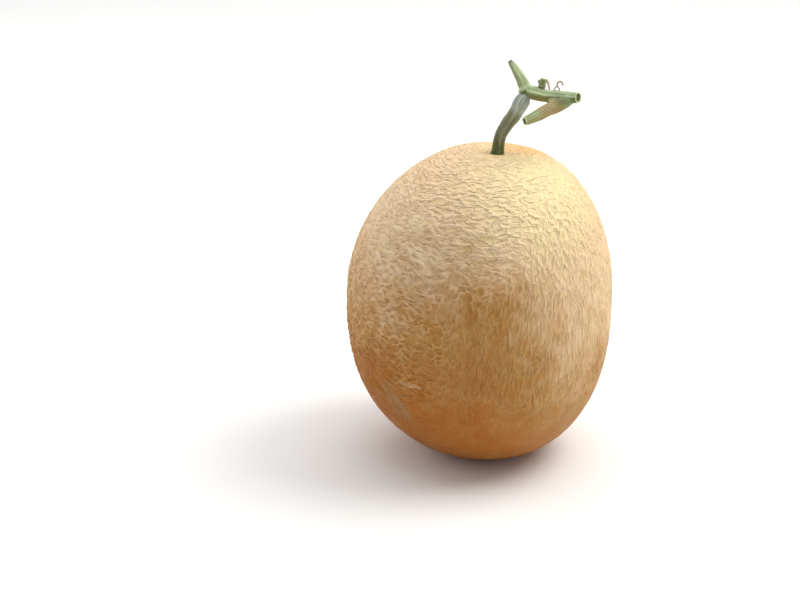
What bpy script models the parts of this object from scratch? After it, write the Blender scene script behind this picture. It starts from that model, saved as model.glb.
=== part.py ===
"""A whole netted cantaloupe melon with its cut stem, standing on the small flat spot at its blossom end.

The fruit is one solid with its net raised from the skin. The fruit stalk stands in a socket at the stem end,
and carries a cut piece of vine with its side shoot and withered tendrils. Metres, +Z up, seen from -Y.
"""

import math
import random

import bmesh
import bpy
from mathutils import Vector, noise

# The fruit. Its outline is a rounded oblong of revolution, a little squarer at the blossom end. Both ends
# are set to one side of its widest level, which gives it a slightly bowed middle line.
FRUIT_RADIUS = 0.0741
FRUIT_HALF_HEIGHT = 0.0894
STEM_END_FULLNESS = 2.13
BLOSSOM_END_FULLNESS = 2.35
END_OFFSET = 0.0049
END_LEAN = 0.0010
LUMP_HEIGHT = 0.0006
LUMPS_PER_RADIUS = 1.6
FLAT_SPOT_RADIUS = 0.017

# The dip round the stalk and the socket that the stalk stands in.
STALK_FOOT = Vector((0.0087, 0.0, 0.0855))
DIP_DEPTH = 0.0040
DIP_RADIUS = 0.0130
SOCKET_RADIUS = 0.0050
SOCKET_DEPTH = 0.0022
SOCKET_SIDES = 28
CLEARANCE = 0.0003

# The net. Its cells are wider than tall round the stalk and taller than wide down the flanks.
CELL_AREA = 0.0111 ** 2
STEM_END_SHAPE = 0.46
FLANK_SHAPE = 1.60
BLOSSOM_END_SHAPE = 0.95
FIRST_ROW_RADIUS = 0.0115
LAST_ROW_RADIUS = 0.0104
FEWEST_CELLS_IN_ROW = 7
SEED_JITTER = 0.34
DRIFT = 0.10
DRIFTS_PER_RADIUS = 2.4
RIDGE_HEIGHT = 0.0010
RIDGE_HALF_WIDTH = 0.0012
RIDGE_UNEVENNESS = 0.35
UNEVENNESS_PER_RADIUS = 9.0
LARGEST_INSET = 0.42
SEED = 11

# The stem: points from the fruit's centre, and the radius at each.
STALK_ROUTE = (
    ((0.0087, 0.0000, 0.0836), 0.0045),
    ((0.0087, 0.0000, 0.0875), 0.0038),
    ((0.0100, -0.0003, 0.0960), 0.0033),
    ((0.0145, -0.0006, 0.1042), 0.0036),
    ((0.0187, -0.0006, 0.1108), 0.0038),
    ((0.0212, -0.0008, 0.1152), 0.0041),
    ((0.0240, -0.0004, 0.1200), 0.0037),
)
ARM_ROUTE = (
    ((0.0143, 0.0050, 0.1362), 0.0011),
    ((0.0167, 0.0040, 0.1325), 0.0021),
    ((0.0198, 0.0024, 0.1270), 0.0028),
    ((0.0236, 0.0004, 0.1214), 0.0035),
    ((0.0292, -0.0018, 0.1197), 0.0035),
    ((0.0362, -0.0048, 0.1193), 0.0035),
    ((0.0432, -0.0080, 0.1197), 0.0034),
    ((0.0512, -0.0127, 0.1209), 0.0028),
)
LEAF_STUB_ROUTE = (
    ((0.0482, -0.0110, 0.1202), 0.0017),
    ((0.0436, -0.0102, 0.1175), 0.0030),
    ((0.0366, -0.0120, 0.1140), 0.0033),
    ((0.0285, -0.0168, 0.1115), 0.0028),
    ((0.0223, -0.0204, 0.1095), 0.0023),
)
BUD_ROUTE = (
    ((0.0319, -0.0028, 0.1205), 0.0019),
    ((0.0317, -0.0016, 0.1245), 0.0018),
    ((0.0316, -0.0010, 0.1272), 0.0013),
)
FLOWER_REST_ROUTE = (
    ((0.0316, -0.0016, 0.1238), 0.0009),
    ((0.0342, -0.0018, 0.1264), 0.0010),
    ((0.0354, -0.0027, 0.1247), 0.0010),
    ((0.0360, -0.0040, 0.1206), 0.0009),
)
TENDRIL_ROUTE = (
    ((0.0380, -0.0054, 0.1204), 0.0010),
    ((0.0389, -0.0056, 0.1244), 0.0008),
    ((0.0404, -0.0056, 0.1270), 0.0008),
    ((0.0422, -0.0060, 0.1260), 0.0008),
    ((0.0420, -0.0070, 0.1218), 0.0007),
)
ROUTE_STEPS = 4
STALK_SIDES = 25
VINE_SIDES = 20
LEAF_STUB_SIDES = 15
BUD_SIDES = 10
TENDRIL_SIDES = 8
RIBS = 5
STALK_RIB_DEPTH = 0.05
VINE_RIB_DEPTH = 0.08
PITH_SHARE = 0.62
PITH_DEPTH = 0.0007

# Finishes: colour, roughness and metallic value.
RIND_FINISH = ((0.58, 0.39, 0.17), 0.62, 0.0)
STALK_FINISH = ((0.16, 0.18, 0.10), 0.70, 0.0)
VINE_FINISH = ((0.30, 0.40, 0.20), 0.62, 0.0)
CREASE_ANGLE = math.radians(32)

STEM_POLE = Vector((0, 0, 1))
BLOSSOM_POLE = Vector((0, 0, -1))
SMALL_ANGLE = 0.01


def clear_scene():
    for old in list(bpy.data.objects):
        bpy.data.objects.remove(old)


def finish(name, colour, roughness, metallic):
    """A Principled material of this colour."""
    material = bpy.data.materials.new(name)
    material.use_nodes = True
    shader = material.node_tree.nodes["Principled BSDF"]
    shader.inputs["Base Color"].default_value = (*colour, 1.0)
    shader.inputs["Roughness"].default_value = roughness
    shader.inputs["Metallic"].default_value = metallic
    return material


def object_from(builder, name, material, parent):
    """The named object that holds this bmesh, shaded smooth, carried by its parent."""
    mesh = bpy.data.meshes.new(name)
    builder.to_mesh(mesh)
    builder.free()
    mesh.shade_smooth()
    mesh.set_sharp_from_angle(angle=CREASE_ANGLE)
    if material:
        mesh.materials.append(material)
    made = bpy.data.objects.new(name, mesh)
    bpy.context.scene.collection.objects.link(made)
    made.parent = parent
    return made


def cut(target, cutter, name):
    """Takes a hidden cutter out of an object."""
    cutter.hide_render = True
    cutter.display_type = "WIRE"
    modifier = target.modifiers.new(name, "BOOLEAN")
    modifier.operation = "DIFFERENCE"
    modifier.solver = "EXACT"
    modifier.object = cutter


def mix(low, high, share):
    return low + (high - low) * share


# Fruit: its skin as a formula. A direction is a point of the unit sphere, +Z at the stalk.


def skin(direction):
    """The point of the skin that a direction stands for, without the net."""
    up = direction.z
    out = math.hypot(direction.x, direction.y)
    fullness = STEM_END_FULLNESS if up > 0 else BLOSSOM_END_FULLNESS
    reach = (abs(up) ** fullness + out ** fullness) ** (-1 / fullness)
    reach *= 1 + LUMP_HEIGHT / FRUIT_RADIUS * noise.noise(direction * LUMPS_PER_RADIUS)
    z = FRUIT_HALF_HEIGHT * up * reach
    level = z / FRUIT_HALF_HEIGHT
    x = FRUIT_RADIUS * direction.x * reach + END_OFFSET * level ** 2 + END_LEAN * level
    y = FRUIT_RADIUS * direction.y * reach
    if up > 0:
        from_stalk = math.hypot(x - STALK_FOOT.x, y - STALK_FOOT.y)
        z -= DIP_DEPTH * math.exp(-((from_stalk / DIP_RADIUS) ** 2))
    return Vector((x, y, z))


def outward(direction):
    """Straight out of the skin at a direction, near enough for raising the net."""
    across = Vector((direction.x, direction.y, 0)) / FRUIT_RADIUS
    return (across + STEM_POLE * (direction.z / FRUIT_HALF_HEIGHT)).normalized()


def pointing(polar, azimuth):
    """The direction at a polar angle from the stalk and an azimuth round the fruit."""
    out = math.sin(polar)
    return Vector((out * math.cos(azimuth), out * math.sin(azimuth), math.cos(polar)))


def drifted(direction):
    """The direction moved a little by a smooth noise, which breaks up the rows that the net grows from."""
    return (direction + noise.noise_vector(direction * DRIFTS_PER_RADIUS) * DRIFT).normalized()


# Net: rows of seeds, one for each cell, then the cells round them. The rows are also laid out on an even
# sphere, where every cell is as wide as tall, because the nearest neighbours are found there.


def cell_shape(polar):
    """A cell's height over its width at this polar angle."""
    if polar < math.pi / 2:
        return mix(STEM_END_SHAPE, FLANK_SHAPE, math.sin(polar) ** 2)
    return mix(BLOSSOM_END_SHAPE, FLANK_SHAPE, math.sin(polar) ** 2)


def cell_rows():
    """Each row's polar angle, its number of cells and its polar angle on the even sphere."""
    polar = FIRST_ROW_RADIUS / FRUIT_RADIUS
    last_polar = math.pi - LAST_ROW_RADIUS / FRUIT_RADIUS
    rows = []
    spread = 0.0
    while polar < last_polar:
        girth = 2 * math.pi * FRUIT_RADIUS * math.sin(polar)
        count = max(FEWEST_CELLS_IN_ROW, round(girth / math.sqrt(CELL_AREA / cell_shape(polar))))
        if rows:
            cell_width = 2 * math.pi / ((count + rows[-1][1]) / 2)
            spread += cell_width * math.sqrt(3) / 2
        rows.append((polar, count, spread))
        step = skin(pointing(polar + SMALL_ANGLE, 0.0)) - skin(pointing(polar, 0.0))
        polar += math.sqrt(CELL_AREA * cell_shape(polar)) / (step.length / SMALL_ANGLE)
    middle = min(rows, key=lambda row: abs(row[0] - math.pi / 2))[2]
    return [(polar, count, 2 * math.atan(math.exp(spread - middle))) for polar, count, spread in rows]


def scatter_seeds():
    """Directions of the cells' seeds, on the fruit and on the even sphere."""
    draw = random.Random(SEED)
    rows = cell_rows()
    seeds = [(STEM_POLE, STEM_POLE)]
    for k, (polar, count, even_polar) in enumerate(rows):
        above, below = (rows[k], rows[k + 1]) if k + 1 < len(rows) else (rows[k - 1], rows[k])
        row_gap = below[0] - above[0]
        even_gap = below[2] - above[2]
        for cell in range(count):
            aside = draw.uniform(-SEED_JITTER, SEED_JITTER)
            down = draw.uniform(-SEED_JITTER, SEED_JITTER)
            azimuth = 2 * math.pi * (cell + 0.5 * (k % 2) + aside) / count
            on_fruit = pointing(polar + down * row_gap, azimuth)
            on_sphere = pointing(even_polar + down * even_gap, azimuth)
            seeds.append((on_fruit, on_sphere))
    seeds.append((BLOSSOM_POLE, BLOSSOM_POLE))
    return seeds


def faces_round(corner):
    """The faces round a corner of a closed mesh, anticlockwise from outside."""
    start = corner.link_loops[0]
    found = [start.face]
    step = start.link_loop_prev.link_loop_radial_next
    while step != start:
        found.append(step.face)
        step = step.link_loop_prev.link_loop_radial_next
    return found


def net_cells():
    """The net's corner directions, and for each cell the numbers of its corners in order."""
    hull = bmesh.new()
    place = {}
    for on_fruit, on_sphere in scatter_seeds():
        place[hull.verts.new(on_sphere)] = on_fruit
    bmesh.ops.convex_hull(hull, input=hull.verts)
    hull.faces.index_update()
    corners = [drifted(sum((place[v] for v in face.verts), Vector()).normalized()) for face in hull.faces]
    cells = [[face.index for face in faces_round(v)] for v in hull.verts]
    hull.free()
    return corners, cells


def raise_net(builder):
    """The whole skin: each cell has a floor, and slopes up to the ridges that it shares with its neighbours."""
    corners, cells = net_cells()
    crests = []
    for direction in corners:
        unevenness = 1 + RIDGE_UNEVENNESS * noise.noise(direction * UNEVENNESS_PER_RADIUS)
        crest = skin(direction) + outward(direction) * RIDGE_HEIGHT * unevenness
        crests.append(builder.verts.new(crest))
    corner_reach = RIDGE_HALF_WIDTH / math.sin(math.radians(60))
    for cell in cells:
        middle = sum((corners[n] for n in cell), Vector()).normalized()
        feet = []
        for n in cell:
            cell_reach = (skin(corners[n]) - skin(middle)).length
            inset = min(LARGEST_INSET, corner_reach / cell_reach)
            feet.append(builder.verts.new(skin(corners[n].lerp(middle, inset).normalized())))
        builder.faces.new(feet)
        for k, n in enumerate(cell):
            after = (k + 1) % len(cell)
            builder.faces.new((crests[n], crests[cell[after]], feet[after], feet[k]))


def flat_spot_level():
    """The level, below the fruit's centre, where its skin is as wide as the flat spot."""
    share = FLAT_SPOT_RADIUS / FRUIT_RADIUS
    return -FRUIT_HALF_HEIGHT * (1 - share ** BLOSSOM_END_FULLNESS) ** (1 / BLOSSOM_END_FULLNESS)


def make_fruit(parent):
    builder = bmesh.new()
    raise_net(builder)
    bmesh.ops.bisect_plane(
        builder,
        geom=builder.verts[:] + builder.edges[:] + builder.faces[:],
        plane_co=(0, 0, flat_spot_level()),
        plane_no=BLOSSOM_POLE,
        clear_outer=True,
    )
    rim = [edge for edge in builder.edges if edge.is_boundary]
    bmesh.ops.contextual_create(builder, geom=rim)
    bmesh.ops.recalc_face_normals(builder, faces=builder.faces)
    fruit = object_from(builder, "fruit", finish("rind", *RIND_FINISH), parent)
    cut(fruit, stalk_socket(parent), "stalk_socket")
    return fruit


def stalk_socket(parent):
    builder = bmesh.new()
    bmesh.ops.create_cone(
        builder,
        cap_ends=True,
        segments=SOCKET_SIDES,
        radius1=SOCKET_RADIUS,
        radius2=SOCKET_RADIUS,
        depth=2 * SOCKET_DEPTH,
    )
    socket = object_from(builder, "stalk_socket_cutter", None, parent)
    socket.location = STALK_FOOT
    return socket


# Stem: every limb is a ribbed, tapered tube along a smooth route.


def catmull(before, start, end, after, t):
    """The Catmull-Rom curve from start to end, for numbers and vectors alike."""
    return (
        start
        + (end - before) * 0.5 * t
        + (before * 2 - start * 5 + end * 4 - after) * 0.5 * t ** 2
        + (start * 3 - before - end * 3 + after) * 0.5 * t ** 3
    )


def smooth_route(route):
    """Points and radii of a smooth curve through the route's own points."""
    points = [(Vector(place), radius) for place, radius in route]
    padded = [points[0], *points, points[-1]]
    smooth = []
    for k in range(len(points) - 1):
        before, start, end, after = padded[k : k + 4]
        for step in range(ROUTE_STEPS):
            t = step / ROUTE_STEPS
            smooth.append(tuple(catmull(before[i], start[i], end[i], after[i], t) for i in (0, 1)))
    smooth.append(points[-1])
    return smooth


def limb(route, sides, rib_depth, grown=0.0, sunken_ends=(False, False)):
    """A closed ribbed tube along a route. grown adds to its radius, and a sunken end has its pith below a rim."""
    builder = bmesh.new()
    line = smooth_route(route)
    across = Vector((0, 1, 0))
    rings = []
    for k, (centre, radius) in enumerate(line):
        heading = (line[min(k + 1, len(line) - 1)][0] - line[max(k - 1, 0)][0]).normalized()
        across = (across - heading * across.dot(heading)).normalized()
        side = heading.cross(across)
        ring = []
        for n in range(sides):
            turn = 2 * math.pi * n / sides
            reach = radius * (1 + rib_depth * math.cos(RIBS * turn)) + grown
            ring.append(builder.verts.new(centre + (across * math.cos(turn) + side * math.sin(turn)) * reach))
        rings.append(ring)
    for ring, following in zip(rings, rings[1:]):
        for n in range(sides):
            after = (n + 1) % sides
            builder.faces.new((ring[n], ring[after], following[after], following[n]))
    ends = [builder.faces.new(reversed(rings[0])), builder.faces.new(rings[-1])]
    for end, sunken, radius in zip(ends, sunken_ends, (line[0][1], line[-1][1])):
        if sunken:
            bmesh.ops.inset_region(builder, faces=[end], thickness=radius * (1 - PITH_SHARE))
            bmesh.ops.translate(builder, verts=end.verts, vec=end.normal * -PITH_DEPTH)
    bmesh.ops.recalc_face_normals(builder, faces=builder.faces)
    return builder


def join(target, parts):
    """Unites the parts with the target in one body, and removes them."""
    group = bpy.data.collections.new(target.name + "_parts")
    bpy.context.scene.collection.children.link(group)
    for part in parts:
        group.objects.link(part)
    modifier = target.modifiers.new("grown_together", "BOOLEAN")
    modifier.operation = "UNION"
    modifier.solver = "EXACT"
    modifier.operand_type = "COLLECTION"
    modifier.collection = group
    bpy.context.view_layer.objects.active = target
    bpy.ops.object.modifier_apply(modifier=modifier.name)
    for part in parts:
        bpy.data.objects.remove(part)
    bpy.data.collections.remove(group)


def make_stalk(parent):
    builder = limb(STALK_ROUTE, STALK_SIDES, STALK_RIB_DEPTH)
    stalk = object_from(builder, "stalk", finish("stalk", *STALK_FINISH), parent)
    grown_arm = limb(ARM_ROUTE, VINE_SIDES, VINE_RIB_DEPTH, grown=CLEARANCE)
    cut(stalk, object_from(grown_arm, "vine_clearance_cutter", None, parent), "vine_seat")
    return stalk


def make_vine(parent):
    material = finish("vine", *VINE_FINISH)
    arm = limb(ARM_ROUTE, VINE_SIDES, VINE_RIB_DEPTH, sunken_ends=(True, True))
    vine = object_from(arm, "vine", material, parent)
    shoots = (
        ("leaf_stub", limb(LEAF_STUB_ROUTE, LEAF_STUB_SIDES, VINE_RIB_DEPTH, sunken_ends=(False, True))),
        ("bud", limb(BUD_ROUTE, BUD_SIDES, 0.0, sunken_ends=(False, True))),
        ("flower_rest", limb(FLOWER_REST_ROUTE, TENDRIL_SIDES, 0.0)),
        ("tendril", limb(TENDRIL_ROUTE, TENDRIL_SIDES, 0.0)),
    )
    join(vine, [object_from(builder, name, material, parent) for name, builder in shoots])
    return vine


def main():
    clear_scene()
    melon = bpy.data.objects.new("melon", None)
    bpy.context.scene.collection.objects.link(melon)
    fruit = make_fruit(melon)
    make_stalk(melon)
    make_vine(melon)
    across = [[v.co[axis] for v in fruit.data.vertices] for axis in (0, 1)]
    middle = [(min(values) + max(values)) / 2 for values in across]
    melon.location = (-middle[0], -middle[1], -flat_spot_level())


main()
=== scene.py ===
"""The looks of a whole netted cantaloupe melon, laid out as a Blender add-on and run as a script.

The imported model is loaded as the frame. An operator for each piece then models the netted rind, the blossom
scar, the stalk, the vine and what grows on it around that frame, and one more sets the stage.
Metres, +Z up, seen from -Y.
"""

import math

import bmesh
import bpy
import numpy as np
from bpy.props import FloatProperty, FloatVectorProperty, IntProperty, PointerProperty
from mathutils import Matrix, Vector, noise


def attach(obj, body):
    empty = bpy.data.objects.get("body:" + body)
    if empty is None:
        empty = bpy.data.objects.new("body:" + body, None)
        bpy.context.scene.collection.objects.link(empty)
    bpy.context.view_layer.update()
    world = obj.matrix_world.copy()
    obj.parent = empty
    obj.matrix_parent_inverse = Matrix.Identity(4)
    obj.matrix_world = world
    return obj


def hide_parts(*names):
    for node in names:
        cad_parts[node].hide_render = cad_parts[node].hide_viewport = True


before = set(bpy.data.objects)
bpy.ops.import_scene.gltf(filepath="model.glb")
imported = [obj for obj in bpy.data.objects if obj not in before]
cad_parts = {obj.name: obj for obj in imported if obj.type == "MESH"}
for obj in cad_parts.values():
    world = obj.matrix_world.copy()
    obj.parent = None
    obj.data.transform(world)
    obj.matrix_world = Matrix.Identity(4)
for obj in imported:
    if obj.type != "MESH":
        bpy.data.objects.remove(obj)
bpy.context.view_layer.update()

bl_info = {
    "name": "Netted Cantaloupe",
    "version": (1, 0, 0),
    "blender": (4, 5, 0),
    "location": "View3D > Sidebar > Melon",
    "description": "Models a netted cantaloupe melon with its stalk and a cut piece of vine",
    "category": "Add Mesh",
}

MM = 0.001

# The fruit's centre in the frame, and how its formula is shaped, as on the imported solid.
FRUIT_CENTRE = Vector((0.0002242, -0.0001948, 0.088193))
STEM_END_FULLNESS = 2.13
BLOSSOM_END_FULLNESS = 2.35
END_OFFSET = 0.0049
END_LEAN = 0.0010
LUMP_HEIGHT = 0.0006
LUMPS_PER_RADIUS = 1.6
STALK_FOOT = Vector((0.0087, 0.0, 0.0855))
SMALL_ANGLE = 0.001
TINY = 1e-15

# How the net lies, by the angle from the stem end in degrees. Shape is a cell's height over its width.
CURLY_SIDE_SHAPE = ((0, 0.40), (60, 0.40), (95, 0.55), (130, 0.60), (180, 1.00))
LINED_SIDE_SHAPE = ((0, 0.40), (30, 0.45), (52, 1.50), (70, 3.00), (105, 3.80), (140, 3.00), (180, 1.00))
LINED_SIDE_EDGE = ((35, 0.75), (60, 0.20), (85, -0.22), (115, -0.42), (150, -0.55))
CELL_AREA = ((0, 14), (50, 15), (85, 14.5), (110, 17), (130, 24), (150, 32), (180, 36))
LINED_SIDE_AREA = 1.25
RELIEF = ((0, 0.40), (20, 0.50), (50, 0.78), (78, 1.12), (105, 1.05), (118, 0.62), (134, 0.28), (180, 0.14))
LINED_SIDE_RELIEF = ((0, 1.0), (45, 0.95), (62, 0.72), (80, 0.54), (180, 0.50))
GRAIN_TILT = math.radians(26)
EDGE_STRAY = 0.30
EDGE_SOFTNESS = 0.30

# The fine wrinkles between the strands, in waves over the fruit's radius: along them and across them.
LEVEL_WRINKLES = (9.0, 24.0)
UPRIGHT_WRINKLES = (24.0, 8.0)
WRINKLE_SWAY = 1.1

# How far the skin has paled, from 0 at the blossom end to 1 at the stem end, and what its right flank adds.
PALENESS = ((0, 1.0), (45, 1.0), (60, 0.88), (75, 0.66), (90, 0.49), (104, 0.25), (118, 0.06), (135, 0.0))
PALER_FLANK = ((0, 0.0), (40, 0.05), (65, 0.24), (90, 0.40), (115, 0.47), (132, 0.28), (155, 0.0), (180, 0.0))
# The band down the front middle: painted shade darkens it, and lower down it is paled.
FRONT_MIDDLE = 0.06
FRONT_WIDTH = 0.34

# How the cells are spread over the skin and evened out.
SEED = 11
TRIES = 52000
PACKED_SHARE = 1.436
TURNING_ROUNDS = 10
TURNING_GAIN = 0.02
UNFOLDING_ROUNDS = 45
GROWING_ROUNDS = 3
FOLDED_COSINE = 0.3

# How strands fade across the grain, and how many are lost at random.
CROSSING_FADE = 0.92
ACROSS_TO_ALONG = (0.45, 0.92)
LOST_SHARE = 0.10
LOST_SHARE_WITHOUT_GRAIN = 0.26
LOST_PRESENCE = 0.10
LEAST_PRESENCE = 0.70
PRESENCE_SPREAD = 0.38

# How strands are laid out: the run between their crest points, their joints, and their breadth.
WIDE_STEP = 2.6 * MM
CLOSE_STEP = 1.45 * MM
MOST_STEPS = 8
JOINT_REACH = 1.9 * MM
BREADTH = 1.36
LINED_BREADTH_LOSS = 0.48
THINNEST = 0.62
PROFILE_POWER = 2.6
ROUND_TOPPED_RELIEF = 0.42

# How far a strand's foot may lie from its crest: shares of the room that its cell leaves.
SIDE_ROOM = 0.85
CORNER_ROOM = 0.75
CORNER_REACH = 0.45
LEAST_SINE = 0.35
LEAST_SLOPE = 0.05

# The stem's limbs in millimetres: each stop is a place from the fruit's centre and the radius there.
STALK_ROUTE = (
    (8.5, 0, 80.5, 4.4), (8.3, 0, 83.5, 3.9), (8.2, 0, 85.8, 3.5), (8.7, -0.1, 89, 3.3),
    (9.9, -0.3, 95.8, 3.2), (13.1, -0.5, 102, 3.5), (16.8, -0.6, 107, 3.8), (19, -0.6, 110.6, 3.9),
    (20.9, -0.9, 114.3, 4.3), (22.4, -1, 116.9, 3.8), (23.8, -0.6, 119, 2.2),
)
ARM_ROUTE = (
    (14.3, 5.1, 136.3, 1), (15.4, 4.5, 134.7, 1.7), (17, 4, 132.7, 2.1), (18.7, 3, 130.1, 2.5),
    (20.3, 2, 127.7, 2.8), (21.6, 1.4, 125.1, 3.1), (23, 0.9, 122.6, 3.2), (24.8, 0.2, 120.9, 3.5),
    (27.3, -1, 120.3, 3.7), (30.3, -2.2, 119.8, 3.6), (34.1, -3.8, 119.4, 3.4), (41.5, -7, 119.7, 3.3),
    (47, -10, 120.2, 3.1), (51, -12.6, 120.9, 2.9),
)
LEAF_STUB_ROUTE = (
    (49.3, -11.4, 120, 1.8), (46.2, -10.4, 118.9, 2.8), (42.6, -9.9, 116.8, 3.2),
    (38.5, -10.8, 115.1, 3.5), (34.7, -12.6, 114, 3.3), (30.9, -15, 112.5, 3.2),
    (27.9, -17, 111.4, 2.9), (24.9, -18.9, 110.4, 2.6), (22.3, -20.4, 109.6, 2.3),
)
WEB_ROUTE = (
    (45.9, -9.4, 118.7, 2.4), (41.5, -8.4, 117.5, 2.9), (37.8, -8.8, 116.6, 2.8),
    (35.6, -9.8, 116, 2.5),
)
NODE_ROUTE = ((21.1, 1.6, 122.6, 2.9), (22.4, 1.1, 121.7, 3.7), (23.7, 0.6, 121.2, 3.6))
BUD_ROUTE = ((31.9, -2.8, 121.5, 1.8), (31.7, -1.6, 125, 1.4), (31.5, -0.8, 126.8, 1.1))
FLOWER_REST_ROUTE = (
    (33, -1.5, 125.6, 0.8), (33.9, -1.6, 127.4, 0.9), (35, -2.4, 126.1, 0.8), (35.9, -4, 122, 0.4),
)
TENDRIL_ROUTES = (
    ((37.8, -5.4, 121.6, 0.5), (38.7, -5.6, 124.4, 0.4), (39.7, -5.8, 125.1, 0.4), (40.8, -6.4, 124.1, 0.4),
     (41.3, -7.2, 121.8, 0.4)),
    ((39.7, -5.8, 124.9, 0.4), (40, -5.4, 126.9, 0.5), (41.3, -5.4, 127.8, 0.5), (42.4, -5.8, 127, 0.5),
     (42.9, -6.2, 125.4, 0.3)),
)
BUD_LUMPS = (
    (31.5, -1.5, 126, 1.6), (30.6, -1.8, 126.8, 1.2), (32.6, -1.5, 127, 1.3), (31.1, -2, 124.4, 1.4),
    (32.5, -2.2, 124.4, 1.4), (31.9, -1, 127.8, 0.9),
)
ROUTE_STEPS = 8
STEM_VOXEL = 0.00022
WITHERED_VOXEL = 0.00013
EVENING = 0.6
MERGED = 0.00001
STALK_FOOT_TOP = 0.0900
STALK_TURN = 0.35
STALK_TWIST = 18.0
PITH_SHARE = 0.76
NODE_RING = 0.33
# Where painted shade darkens the arm at the stalk's joint, as a share of the arm's length.
JOINT_SHADE_SHARE = 0.385
BUD_END = 0.0333
BUD_FOOT = 0.1240
FLOWER_REST_END = 0.0366

# The stem's tints, besides those in its settings. Some are painted light and shade: the darker tints under
# the arm and the stub, the dark green at the stalk's joint, and the lighter grey-green on the stub's top.
STALK_HEAD_GREY = (0.47, 0.52, 0.46)
STALK_GROOVE_GREEN = (0.050, 0.070, 0.016)
STALK_LOWER_GREEN = (0.075, 0.115, 0.020)
VINE_GROOVE_GREEN = (0.15, 0.24, 0.07)
VINE_UNDER_SHADE_OLIVE = (0.21, 0.21, 0.035)
VINE_FAR_UNDER_SHADE_GREEN = (0.07, 0.13, 0.03)
STUB_OLIVE = (0.31, 0.285, 0.090)
STUB_LIT_TOP_GREEN = (0.27, 0.33, 0.18)
STUB_OUTER_BROWN = (0.22, 0.19, 0.055)
STUB_FOOT_GREEN = (0.10, 0.17, 0.045)
STUB_UNDER_SHADE_BROWN = (0.22, 0.19, 0.05)
STUB_REDDISH = (0.40, 0.22, 0.090)
NODE_RING_PALE = (0.66, 0.74, 0.42)
JOINT_SHADE_GREEN = (0.10, 0.14, 0.02)
TIP_BROWN = (0.12, 0.075, 0.03)
CUT_RIM_PALE = (0.62, 0.66, 0.34)
CUT_PITH_DARK = (0.075, 0.095, 0.025)
FLOWER_REST_BUFF = (0.60, 0.50, 0.40)
BUD_OLIVE = (0.36, 0.36, 0.16)
BUD_FLECK_GREEN = (0.14, 0.18, 0.06)
BUD_FOOT_GREEN = (0.07, 0.12, 0.05)

# The small marks on the rind, with a painted highlight and painted shade among them: (place from the fruit's
# centre, half its size along each axis).
SCUFFS = (
    ((-0.0480, -0.0500, -0.0362), (0.0036, 0.0300, 0.0060)),
    ((-0.0450, -0.0515, -0.0405), (0.0042, 0.0300, 0.0060)),
    ((-0.0415, -0.0520, -0.0465), (0.0044, 0.0300, 0.0060)),
)
CRACKS = (
    ((0.0153, -0.0724, 0.0033), (0.0004, 0.0200, 0.0052)),
    ((0.0294, -0.0645, -0.0335), (0.0004, 0.0200, 0.0052)),
    ((0.0236, -0.0690, -0.0125), (0.0003, 0.0200, 0.0036)),
)
PALE_SCARS = (
    ((-0.0378, -0.0613, -0.0265), (0.0060, 0.0200, 0.0013)),
    ((-0.0056, -0.0640, 0.0420), (0.0006, 0.0200, 0.0070)),
    ((0.0060, -0.0700, 0.0300), (0.0006, 0.0200, 0.0080)),
)
# A painted highlight: cream over the upper right of the rind, where the key light falls.
HIGHLIGHT_PATCHES = (((0.0290, -0.0260, 0.0680), (0.0330, 0.0360, 0.0270)),)
# Painted shade: a darker orange on the far wall of the dip behind the stalk.
DIP_SHADE_PATCHES = (((0.0250, 0.0090, 0.0860), (0.0140, 0.0110, 0.0060)),)
GREENISH_GROUND = (0.46, 0.36, 0.12)
PAINTED_HIGHLIGHT_CREAM = (0.93, 0.80, 0.44)
SCUFF_GREY = (0.33, 0.235, 0.12)
PALE_SCAR_BUFF = (0.72, 0.50, 0.28)
PAINTED_SHADE_ORANGE = (0.80, 0.40, 0.13)
CRACK_BROWN = (0.16, 0.075, 0.02)

# The blossom scar, at the middle of the flat spot.
SCAR_RADIUS = 0.0052
SCAR_HOLLOW = 0.0012
SCAR_THICKNESS = 0.0009
SCAR_ROOT = 0.0012
SCAR_RINGS = 14
SCAR_SIDES = 72
CORK = ((0.13, 0.085, 0.045), (0.30, 0.21, 0.12), (0.42, 0.32, 0.19), (0.50, 0.40, 0.26))
CORK_FLECK = (0.20, 0.14, 0.085)

# Where the fruit's middle lies in the picture, in pixels.
IMAGE_WIDTH = 800
IMAGE_HEIGHT = 600
FRUIT_PIXEL = (479.5, 299.35)
SENSOR_WIDTH = 36.0

# The lights: name, place, width and tint. Their powers are settings.
LIGHTS = (
    ("key", (0.72, 0.12, 0.95), 0.8, (1.0, 0.98, 0.94)),
    ("overhead", (0.3, 0.8, 2.7), 4.5, (1.0, 1.0, 1.0)),
    ("back", (-0.95, 0.45, 0.55), 0.9, (1.0, 1.0, 1.0)),
)
PAPER_WHITES = ((0.90, 0.90, 0.89), (0.92, 0.92, 0.91))


def smooth_step(low, high, value):
    share = np.clip((value - low) / (high - low), 0.0, 1.0)
    return share * share * (3 - 2 * share)


def between(stops, value):
    """The value of a list of (place, value) stops at each place."""
    places, values = zip(*stops)
    return np.interp(value, places, values)


def unit(vectors):
    return vectors / np.linalg.norm(vectors, axis=-1, keepdims=True)


def noise_at(points, scale, shift=0.0):
    """Smooth noise, from about -1 to 1, at each point."""
    return np.array([noise.noise(Vector(p) * scale + Vector((shift, shift, shift))) for p in points])


def noise_vectors_at(points, scale):
    """Smooth noise along each axis, seeded here because its pattern would follow the clock otherwise."""
    noise.seed_set(SEED)
    return np.array([noise.noise_vector(Vector(p) * scale) for p in points])


# Settings.


def number(name, description, default, **limits):
    return FloatProperty(name=name, description=description, default=default, **limits)


def length(name, description, default):
    return number(name, description, default, min=0.0, precision=5, unit="LENGTH")


def colour(name, description, default):
    return FloatVectorProperty(
        name=name, description=description, default=default, size=3, min=0.0, max=1.0, subtype="COLOR"
    )


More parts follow.
